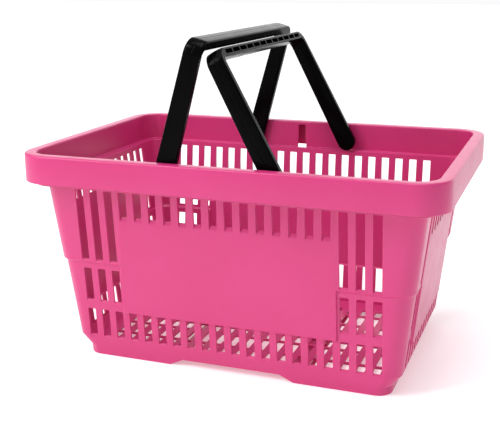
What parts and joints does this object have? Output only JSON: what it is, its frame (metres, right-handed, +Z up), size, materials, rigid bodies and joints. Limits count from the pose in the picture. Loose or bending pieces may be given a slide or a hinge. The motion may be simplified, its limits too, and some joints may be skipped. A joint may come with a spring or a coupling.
{
  "type": "shopping basket",
  "caption": "Rectangular slotted plastic hand basket with a channel rim, blank label panels, end runner feet and two bail handles that fold outward onto an inner ledge.",
  "frame": {"origin": "centre of the footprint, on the floor the feet stand on", "axes": "+X along the length, from the left handle's side to the right handle's, +Y towards the back, +Z up"},
  "size_m": [0.45, 0.31, 0.3531],
  "materials": {
    "tub_plastic": "glossy moulded pink",
    "handle_plastic": "glossy moulded black"
  },
  "bodies": {
    "tub": {"front_wall": "tub_plastic", "back_wall": "tub_plastic", "left_wall": "tub_plastic", "right_wall": "tub_plastic", "lower_edge_front": "tub_plastic", "lower_edge_back": "tub_plastic", "lower_edge_left": "tub_plastic", "lower_edge_right": "tub_plastic", "corner_post_front_left": "tub_plastic", "corner_post_front_right": "tub_plastic", "corner_post_back_left": "tub_plastic", "corner_post_back_right": "tub_plastic", "floor_grid": "tub_plastic", "foot_left": "tub_plastic", "foot_right": "tub_plastic", "rim_front": "tub_plastic", "rim_back": "tub_plastic", "rim_left": "tub_plastic", "rim_right": "tub_plastic", "rim_corner_front_left": "tub_plastic", "rim_corner_front_right": "tub_plastic", "rim_corner_back_left": "tub_plastic", "rim_corner_back_right": "tub_plastic", "ledge_front": "tub_plastic", "ledge_back": "tub_plastic", "ledge_left": "tub_plastic", "ledge_right": "tub_plastic"},
    "left_handle": {"left_handle": "handle_plastic"},
    "right_handle": {"right_handle": "handle_plastic"}
  },
  "joints": [
    {"name": "left_handle_fold", "type": "hinge", "parent": "tub", "child": "left_handle", "pos_m": [-0.06, 0, 0.2103], "axis": [0, 1, 0], "range_deg": [-105.4, 0]},
    {"name": "right_handle_fold", "type": "hinge", "parent": "tub", "child": "right_handle", "pos_m": [0.06, 0, 0.2103], "axis": [0, 1, 0], "range_deg": [0, 117.8]}
  ]
}
